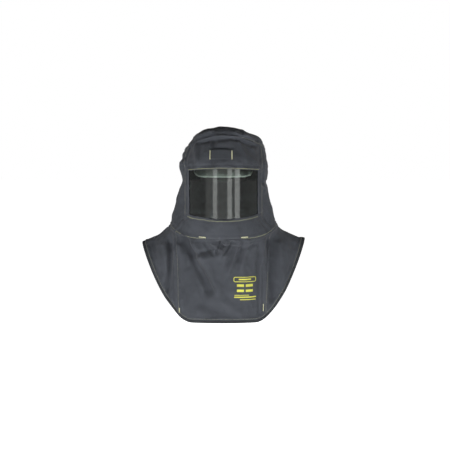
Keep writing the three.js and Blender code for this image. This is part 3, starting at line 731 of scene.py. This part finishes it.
def inward_at(vertex):
    """The direction from a border point into its piece."""
    inner = [e.other_vert(vertex).co for e in vertex.link_edges if not e.is_boundary]
    middle = sum(inner, Vector()) / len(inner) if inner else vertex.link_faces[0].calc_center_median()
    return (middle - vertex.co).normalized()


def border_runs(bm):
    """The border of a skin, cut at its corners into runs of points, each point with its inward direction."""
    edge = next(e for e in bm.edges if e.is_boundary)
    start, vertex = edge.verts
    loop = [start]
    while vertex != start:
        loop.append(vertex)
        edge = next(e for e in vertex.link_edges if e.is_boundary and e != edge)
        vertex = edge.other_vert(vertex)
    count = len(loop)
    steps = [(loop[(i + 1) % count].co - loop[i].co).normalized() for i in range(count)]
    corners = [i for i in range(count) if steps[i - 1].angle(steps[i]) > CORNER] or [0]
    runs = []
    for first, last in zip(corners, corners[1:] + [corners[0] + count]):
        run = [loop[i % count] for i in range(first, last + 1)]
        runs.append([(v.co.copy(), inward_at(v)) for v in run])
    return runs


def surface_of(mesh):
    """A search tree over a mesh's faces."""
    return BVHTree.FromPolygons([v.co for v in mesh.vertices], [tuple(p.vertices) for p in mesh.polygons])


TAPE_SURFACE = surface_of(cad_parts["hem_binding"].data)


def grow_border(bm):
    """Moves the border outwards: a little at a seam, to close the clearance, and into the tape at the hem."""
    moves = [(v, inward_at(v)) for v in bm.verts if v.is_boundary]
    for vertex, inward in moves:
        in_hem = TAPE_SURFACE.find_nearest(vertex.co, HEM_REACH)[0] is not None
        vertex.co -= inward * (HEM_GROWTH if in_hem else SEAM_GROWTH)


print("border runs of the bib", [len(run) for run in border_runs(trial)])
trial.free()

# %% [markdown]
# A bmesh is only a workbench: it becomes a mesh, and the mesh an object, before modifiers can shape it.
# They are applied at once, because the next step needs their points. A finished piece then takes the
# place of its CAD nodes and rides on the hood's one body.

# %% Objects and modifiers
def new_object(name, bm, material):
    """A smooth-shaded object from a bmesh, which it frees."""
    mesh = bpy.data.meshes.new(name)
    bm.to_mesh(mesh)
    bm.free()
    mesh.shade_smooth()
    mesh.materials.append(material)
    made = bpy.data.objects.new(name, mesh)
    bpy.context.scene.collection.objects.link(made)
    return made


def with_modifiers(made):
    """Applies an object's modifiers to its mesh."""
    shaped = bpy.data.meshes.new_from_object(made.evaluated_get(bpy.context.evaluated_depsgraph_get()))
    made.modifiers.clear()
    made.data = shaped


def subdivided(made, levels):
    """Catmull-Clark subdivision that keeps the corners of a panel."""
    smooth = made.modifiers.new("smooth", "SUBSURF")
    smooth.levels = smooth.render_levels = levels
    smooth.boundary_smooth = "PRESERVE_CORNERS"
    with_modifiers(made)


def placed(made, nodes):
    """Puts a finished piece in the place of its CAD nodes, and hangs it on the hood's one body."""
    if nodes:
        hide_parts(*nodes)
    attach(made, "root")
    return made


# %% [markdown]
# Each panel goes through the same steps. Its skin is subdivided until a square is a few millimetres
# wide, moved by folds, edge and puckers, and grown at its border. Solidify then gives it its wall,
# inwards, so that the outer face stays where the CAD has it, and Bevel rounds the cut edges. The skin
# is kept for the stitches, which lie on it.

# %% Making a cloth piece
WALL = 3 * MM
CLOTH_LEVELS = 3
EDGE_BEVEL = 0.8 * MM
FOLD_START = 6 * MM
skins = {}


def shape_cloth(bm):
    """Folds, puckers and sewn edges on a subdivided skin."""
    bm.normal_update()
    border = [v for v in bm.verts if v.is_boundary]
    tree = KDTree(len(border))
    for index, vertex in enumerate(border):
        tree.insert(vertex.co, index)
    tree.balance()
    moves = []
    for vertex in bm.verts:
        nearest, _, distance = tree.find(vertex.co)
        folded = fine_lift(vertex.co) * min(1, distance / FOLD_START)
        moves.append(folded + seam_profile(distance) + pucker(nearest, distance))
    for vertex, move in zip(bm.verts, moves):
        vertex.co += vertex.normal * move


def cloth_piece(node, name):
    """A cloth piece over a CAD node: its skin, subdivided, folded, puckered and given its wall."""
    skin = outer_face(node)
    join_squares(skin)
    made = new_object(name, skin, CLOTH)
    subdivided(made, CLOTH_LEVELS)
    bm = bmesh.new()
    bm.from_mesh(made.data)
    shape_cloth(bm)
    grow_border(bm)
    skins[node] = {"runs": border_runs(bm), "surface": BVHTree.FromBMesh(bm)}
    bm.to_mesh(made.data)
    bm.free()
    thick = made.modifiers.new("wall", "SOLIDIFY")
    thick.thickness = WALL
    thick.offset = -1
    rounded = made.modifiers.new("rounded_edges", "BEVEL")
    rounded.width = EDGE_BEVEL
    rounded.segments = 2
    rounded.angle_limit = SHARP
    with_modifiers(made)
    print(name, "faces", len(made.data.polygons), "border runs", len(skins[node]["runs"]))
    return placed(made, [node])


CLOTH_NODES = [
    "crown_panel",
    "brow_panel",
    "chin_panel",
    "back_panel",
    "side_panel_left",
    "side_panel_right",
    "window_jamb_left",
    "window_jamb_right",
    "bib_front",
    "bib_back",
    "cape_left",
    "cape_right",
]
cloth = {node: cloth_piece(node, node + "_cloth") for node in CLOTH_NODES}

# %% [markdown]
# The other pieces are closed solids in the CAD too. A merged copy has its triangles joined to squares,
# its sharp edges bevelled, and is subdivided once or twice. The tape is folded over the hem, so it
# keeps its whole section. The bevel's bands hold the corners while the subdivision rounds everything
# else. The keys that join the headband to the shell are small blocks, for which the bevel is enough.

# %% Dressing a solid CAD node
JOIN_BEND, JOIN_SKEW = math.radians(35), math.radians(50)


def dressed(node, name, material, bevel, segments=2, levels=1):
    """A piece from a whole CAD node, with rounded edges."""
    bm = bmesh.new()
    bm.from_mesh(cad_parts[node].data)
    bmesh.ops.remove_doubles(bm, verts=bm.verts, dist=MERGE_DISTANCE)
    bmesh.ops.join_triangles(
        bm, faces=bm.faces, angle_face_threshold=JOIN_BEND, angle_shape_threshold=JOIN_SKEW
    )
    sharp = [e for e in bm.edges if e.calc_face_angle(0) > SHARP]
    bmesh.ops.bevel(
        bm,
        geom=sharp,
        offset=bevel,
        affect="EDGES",
        segments=segments,
        profile=0.5,
        material=-1,
        clamp_overlap=True,
    )
    made = new_object(name, bm, material)
    if levels:
        subdivided(made, levels)
    made.data.shade_smooth()
    print(name, "faces", len(made.data.polygons))
    return placed(made, [node])


binding = dressed("hem_binding", "hem_binding_tape", TAPE, 1.0 * MM, levels=2)
lamp_band = dressed("lamp_band", "lamp_band_cloth", CLOTH, 0.6 * MM, levels=2)
# The shell's finish is darkened by painted shade.
cap = dressed("cap_shell", "hard_cap_shell", CAP_SHELL_SHADED, 0.8 * MM, levels=2)
headband = dressed("headband", "suspension_headband", BLACK, 0.7 * MM, levels=2)
straps = [
    dressed(node, node + "_webbing", WEBBING, 0.4 * MM, levels=1)
    for node in ("crown_strap_lower", "crown_strap_upper")
]
for end in ("front", "back"):
    for side in ("left", "right"):
        node = f"suspension_key_{end}_{side}"
        dressed(node, node + "_moulded", BLACK, 1.0 * MM, segments=3, levels=0)

# %% [markdown]
# A moulded cap has a bead along the edge of its peak, which stiffens it. It is the one part of the cap
# that shows well, and its pale colour is a painted highlight, where the light catches it. A bevel on the
# shell's edge would follow every facet, so the bead is a tube along the outermost points of the shell: a
# curve with a round bevel, turned into a mesh.

# %% Bead on the peak
BEAD_RADIUS = 2.4 * MM
BEAD_TURN, BEAD_STEP = 58, 4
BEAD_SLICE = 6 * MM
shell_points = [v.co for v in cap.data.vertices]
curve = bpy.data.curves.new("peak_bead", "CURVE")
curve.dimensions = "3D"
curve.bevel_depth = BEAD_RADIUS
curve.bevel_resolution = 3
curve.use_fill_caps = True
spline = curve.splines.new("POLY")
bead_turns = [math.radians(t) for t in range(-BEAD_TURN, BEAD_TURN + 1, BEAD_STEP)]
spline.points.add(len(bead_turns) - 1)
for point, turn in zip(spline.points, bead_turns):
    out = Vector((math.sin(turn), -math.cos(turn), 0))
    across = Vector((-out.y, out.x, 0))
    near = [p for p in shell_points if abs(p.dot(across)) < BEAD_SLICE and p.dot(out) > 0]
    edge_point = max(near, key=lambda p: p.dot(out))
    point.co = (*(out * edge_point.dot(out)), 1)
    point.co.z = edge_point.z
tube = bpy.data.objects.new("peak_bead_curve", curve)
bpy.context.scene.collection.objects.link(tube)
bead_mesh = bpy.data.meshes.new_from_object(tube.evaluated_get(bpy.context.evaluated_depsgraph_get()))
bpy.data.objects.remove(tube)
bead_mesh.materials.clear()
# The bead's pale finish is a painted highlight.
bead_mesh.materials.append(BEAD_PAINTED_HIGHLIGHT)
bead_mesh.shade_smooth()
bead = bpy.data.objects.new("peak_bead", bead_mesh)
bpy.context.scene.collection.objects.link(bead)
placed(bead, [])
print("bead faces", len(bead_mesh.polygons))

# %% [markdown]
# The lens needs an even surface, because its mirror image shows every flaw. A new sheet could be bent
# by a modifier, but the CAD solid is one already, with flat facets whose corners lie on one circle. So
# the same dressing works, with more subdivision, which joins the corners smoothly.

# %% Lens
dressed("face_lens", "face_lens_sheet", LENS, 0.35 * MM, levels=3)

# %% [markdown]
# A seam's stitches follow one side of a panel at a small inset. Their path could be drawn by hand, but
# it would miss the folds. Instead the side's points are moved inwards along the directions that were
# kept with them, evenly spaced points are taken along that line, and each is dropped onto the finished
# surface.

# %% Paths along seams
FRONT, BACK, LEFT, RIGHT, UP, DOWN = (0, -1, 0), (0, 1, 0), (-1, 0, 0), (1, 0, 0), (0, 0, 1), (0, 0, -1)
TINY = 1e-9


def side_of(node, towards):
    """The run of a piece's border that lies furthest in a direction."""

    def reach(run):
        return sum((point for point, _ in run), Vector()).dot(Vector(towards)) / len(run)

    return max(skins[node]["runs"], key=reach)


def seam_path(node, towards, inset, step):
    """Evenly spaced points on a piece, a distance inside one side of its border, each with its normal."""
    line = [point + inward * inset for point, inward in side_of(node, towards)]
    reach = [0.0]
    for a, b in zip(line, line[1:]):
        reach.append(reach[-1] + (b - a).length)
    places = []
    travelled, index = 0.0, 0
    while travelled <= reach[-1]:
        while reach[index + 1] < travelled:
            index += 1
        share = (travelled - reach[index]) / max(reach[index + 1] - reach[index], TINY)
        place, normal, _, _ = skins[node]["surface"].find_nearest(line[index].lerp(line[index + 1], share))
        places.append((place, normal))
        travelled += step
    return places


print("chin seam, cm", len(seam_path("chin_panel", DOWN, 0, 10 * MM)))

# %% [markdown]
# Stitches are thread on top of the cloth, and a bump would leave them out of the mesh, so they are
# modelled: each is a ball stretched along the seam and pressed into the cloth. The stitches of a seam
# share one mesh, and each has only two dozen faces. Bright thread holds the window and the chin, where
# it shows most, and dull thread the other seams.

# %% Rows of stitches
STITCH_LENGTH, STITCH_GAP, THREAD_WIDTH, THREAD_HEIGHT = 3.3 * MM, 1.0 * MM, 1.6 * MM, 0.65 * MM


def add_stitch(bm, place, along, up, length, width):
    """One stitch: a ball stretched along the seam."""
    across = up.cross(along).normalized()
    turn = Matrix((across.cross(up).normalized(), across, up)).transposed().to_4x4()
    size = Matrix.Diagonal((length / 2, width / 2, THREAD_HEIGHT, 1))
    bmesh.ops.create_uvsphere(
        bm, u_segments=6, v_segments=4, radius=1, matrix=Matrix.Translation(place) @ turn @ size
    )


def stitch_row(name, node, towards, inset, thread, kept=None):
    """A row of stitches along one side of a piece. kept is an axis, and the range in mm that is sewn."""
    places = seam_path(node, towards, inset * MM, STITCH_LENGTH + STITCH_GAP)
    bm = bmesh.new()
    sewn = 0
    for (place, normal), (after, _) in zip(places, places[1:]):
        if kept and not kept[1] <= place["xyz".index(kept[0])] / MM <= kept[2]:
            continue
        along = (after - place).normalized()
        add_stitch(bm, (place + after) / 2, along, normal, STITCH_LENGTH, THREAD_WIDTH)
        sewn += 1
    print(name, "stitches", sewn)
    return placed(new_object(name, bm, thread), [])


WINDOW_X = ("x", -117, 114)
ABOVE_CHIN = ("z", -228, 20)
# Columns: name, node, side of the node, inset in mm, thread, part of the side that is sewn
SEAM_ROWS = [
    ("window_top_stitches", "brow_panel", DOWN, 3.5, THREAD, WINDOW_X),
    ("window_bottom_stitches", "chin_panel", UP, 9.5, THREAD, WINDOW_X),
    ("chin_seam_left_stitches", "chin_panel", DOWN, 2.5, THREAD, ("x", -180, -58)),
    ("chin_seam_right_stitches", "chin_panel", DOWN, 2.5, THREAD, ("x", 58, 180)),
    ("crown_seam_stitches", "crown_panel", DOWN, 3.0, DULL_THREAD, None),
    ("bib_left_stitches", "bib_front", LEFT, 3.0, DULL_THREAD, None),
    ("bib_right_stitches", "bib_front", RIGHT, 3.0, DULL_THREAD, None),
    ("left_face_seam_stitches", "side_panel_left", FRONT, 3.0, DULL_THREAD, ABOVE_CHIN),
    ("right_face_seam_stitches", "side_panel_right", FRONT, 3.0, DULL_THREAD, ABOVE_CHIN),
    ("left_back_seam_stitches", "side_panel_left", BACK, 3.0, DULL_THREAD, None),
    ("right_back_seam_stitches", "side_panel_right", BACK, 3.0, DULL_THREAD, None),
    ("left_neck_stitches", "side_panel_left", DOWN, 3.0, DULL_THREAD, None),
    ("right_neck_stitches", "side_panel_right", DOWN, 3.0, DULL_THREAD, None),
    ("back_neck_stitches", "back_panel", DOWN, 3.0, DULL_THREAD, None),
    ("back_bib_left_stitches", "bib_back", LEFT, 3.0, DULL_THREAD, None),
    ("back_bib_right_stitches", "bib_back", RIGHT, 3.0, DULL_THREAD, None),
    ("front_hem_stitches", "bib_front", DOWN, 6.5, DULL_THREAD, None),
    ("left_hem_stitches", "cape_left", DOWN, 6.5, DULL_THREAD, None),
    ("right_hem_stitches", "cape_right", DOWN, 6.5, DULL_THREAD, None),
    ("back_hem_stitches", "bib_back", DOWN, 6.5, DULL_THREAD, None),
]
stitches = {}
for name, node, *row in SEAM_ROWS:
    stitches.setdefault(node, []).append(stitch_row(name, node, *row))

# %% [markdown]
# A bar tack is a short bar of dense stitches that keeps the end of a seam from tearing. It is laid
# between two points as seen from the front, and each of its stitches is found by a line of sight onto
# the cloth. Dropping the points on the nearest surface alone would let the bar slide sideways on a
# slope, so that is only done past an edge.

# %% Bar tacks
TACK_STEP = 0.9 * MM
TACK_THREAD_WIDTH = 1.2 * MM
IN_FRONT = -1


def seen_from_front(surface, x, z):
    """Where a line of sight from the front meets a surface, and the normal there."""
    place, normal, _, _ = surface.ray_cast(Vector((x, IN_FRONT, z)), Vector(BACK))
    return place, normal


def bar_tack(name, surface, start, end, width):
    """Dense stitches that lie across the line between two points near a surface, in millimetres."""
    first, last = Vector(start) * MM, Vector(end) * MM
    line = last - first
    bm = bmesh.new()
    for k in range(int(line.length / TACK_STEP) + 1):
        wanted = first + line.normalized() * k * TACK_STEP
        place, normal = seen_from_front(surface, wanted.x, wanted.z)
        if place is None:
            place, normal, _, _ = surface.find_nearest(wanted)
        add_stitch(bm, place, line.cross(normal).normalized(), normal, width, TACK_THREAD_WIDTH)
    print(name, "stitches", k + 1)
    return placed(new_object(name, bm, TACK_THREAD), [])


bib_surface = skins["bib_front"]["surface"]
tack_surfaces = {
    "lamp_band": surface_of(lamp_band.data),
    "chin_panel": skins["chin_panel"]["surface"],
    "bib_front": bib_surface,
}
# Columns: name, node, x, y and z of both ends, width of the bar, all in millimetres
TACK_ROWS = [
    ("lamp_band_left_tack", "lamp_band", (-43.5, -185, -15), (-43.5, -185, -42), 4),
    ("lamp_band_right_tack", "lamp_band", (27.5, -185, -15), (27.5, -185, -42), 4),
    ("chin_left_tack", "chin_panel", (-80, -185, -296), (-58, -188, -297), 3.4),
    ("chin_right_tack", "chin_panel", (58, -188, -297), (80, -185, -296), 3.4),
    ("bib_left_tack", "bib_front", (-146, -160, -534), (-146, -160, -548), 3),
    ("bib_right_tack", "bib_front", (132, -165, -520), (131, -165, -542), 3),
]
tacks = {}
for name, node, start, end, width in TACK_ROWS:
    tacks.setdefault(node, []).append(bar_tack(name, tack_surfaces[node], start, end, width * MM))

# %% [markdown]
# The bib carries a plain printed block: a rounded outline box with a bar in it, and more bars below.
# Ink is a thin film on the cloth. It could be a mask in the cloth's colour, but then it would be no
# piece of its own. Each mark is a fine flat grid, dropped onto the bib's surface from the front, so it
# follows every fold. The box's outline is a ring between two rounded loops.

# %% Printed block
INK_LIFT = 0.35 * MM
INK_CELL = 2
# Columns: left x, right x, top z, bottom z, in millimetres
INK_BARS = [
    (50, 90, -433, -437.5),
    (44, 67, -451, -459),
    (73, 96, -451, -459),
    (44, 67, -468, -476),
    (73, 96, -468, -476),
    (36, 84, -486, -488),
    (35, 107, -491.5, -495.5),
    (54, 106, -500.5, -503),
]
BOX_LEFT, BOX_RIGHT, BOX_TOP, BOX_BOTTOM, BOX_LINE, BOX_CORNER = 33, 107, -427, -444, 2.2, 6
BOX_STEPS = 48
LONG_EDGE, LONG_EDGE_CUTS = 4 * MM, 16


def drop_on_bib(bm):
    """Moves a flat mark onto the bib's surface."""
    for vertex in bm.verts:
        place, normal = seen_from_front(bib_surface, vertex.co.x, vertex.co.z)
        vertex.co = place + normal * INK_LIFT


def add_bar(bm, left, right, top, bottom):
    """A flat bar as a grid of small cells, which faces the front."""
    across, down = (max(1, round(length / INK_CELL)) for length in (right - left, top - bottom))
    size = Matrix.Diagonal(((right - left) / 2 * MM, (top - bottom) / 2 * MM, 1, 1))
    stand = Matrix.Rotation(math.radians(90), 4, "X")
    centre = Matrix.Translation(((left + right) / 2 * MM, 0, (top + bottom) / 2 * MM))
    bmesh.ops.create_grid(bm, x_segments=across, y_segments=down, size=1, matrix=centre @ stand @ size)


def rounded_point(turn, inset):
    """A point on the rounded outline of the box, at a turn round its middle."""
    half_x, half_z = (BOX_RIGHT - BOX_LEFT) / 2 - BOX_CORNER, (BOX_TOP - BOX_BOTTOM) / 2 - BOX_CORNER
    radius = BOX_CORNER - inset
    x = math.copysign(half_x, math.cos(turn)) + radius * math.cos(turn)
    z = math.copysign(half_z, math.sin(turn)) + radius * math.sin(turn)
    return Vector(((BOX_LEFT + BOX_RIGHT) / 2 + x, 0, (BOX_TOP + BOX_BOTTOM) / 2 + z)) * MM


def add_outline(bm):
    """A rounded ring in an empty bmesh: a circle is moved onto the outline, and its rim grown inwards."""
    made = bmesh.ops.create_circle(bm, segments=BOX_STEPS, radius=1)["verts"]
    turns = [(k + 0.5) * 2 * math.pi / BOX_STEPS for k in range(BOX_STEPS)]
    for vertex, turn in zip(made, turns):
        vertex.co = rounded_point(turn, 0)
    grown = bmesh.ops.extrude_edge_only(bm, edges=list(bm.edges))["geom"]
    for vertex in [v for v in grown if isinstance(v, bmesh.types.BMVert)]:
        turn = min(turns, key=lambda t: (rounded_point(t, 0) - vertex.co).length)
        vertex.co = rounded_point(turn, BOX_LINE)
    long_edges = [e for e in bm.edges if e.calc_length() > LONG_EDGE]
    bmesh.ops.subdivide_edges(bm, edges=long_edges, cuts=LONG_EDGE_CUTS, use_grid_fill=True)


ink = bmesh.new()
add_outline(ink)
for bar in INK_BARS:
    add_bar(ink, *bar)
drop_on_bib(ink)
bmesh.ops.recalc_face_normals(ink, faces=ink.faces)
if sum(f.normal.y for f in ink.faces) > 0:
    bmesh.ops.reverse_faces(ink, faces=ink.faces)
printed_block = placed(new_object("printed_block", ink, INK), [])
print("printed block faces", len(printed_block.data.polygons))
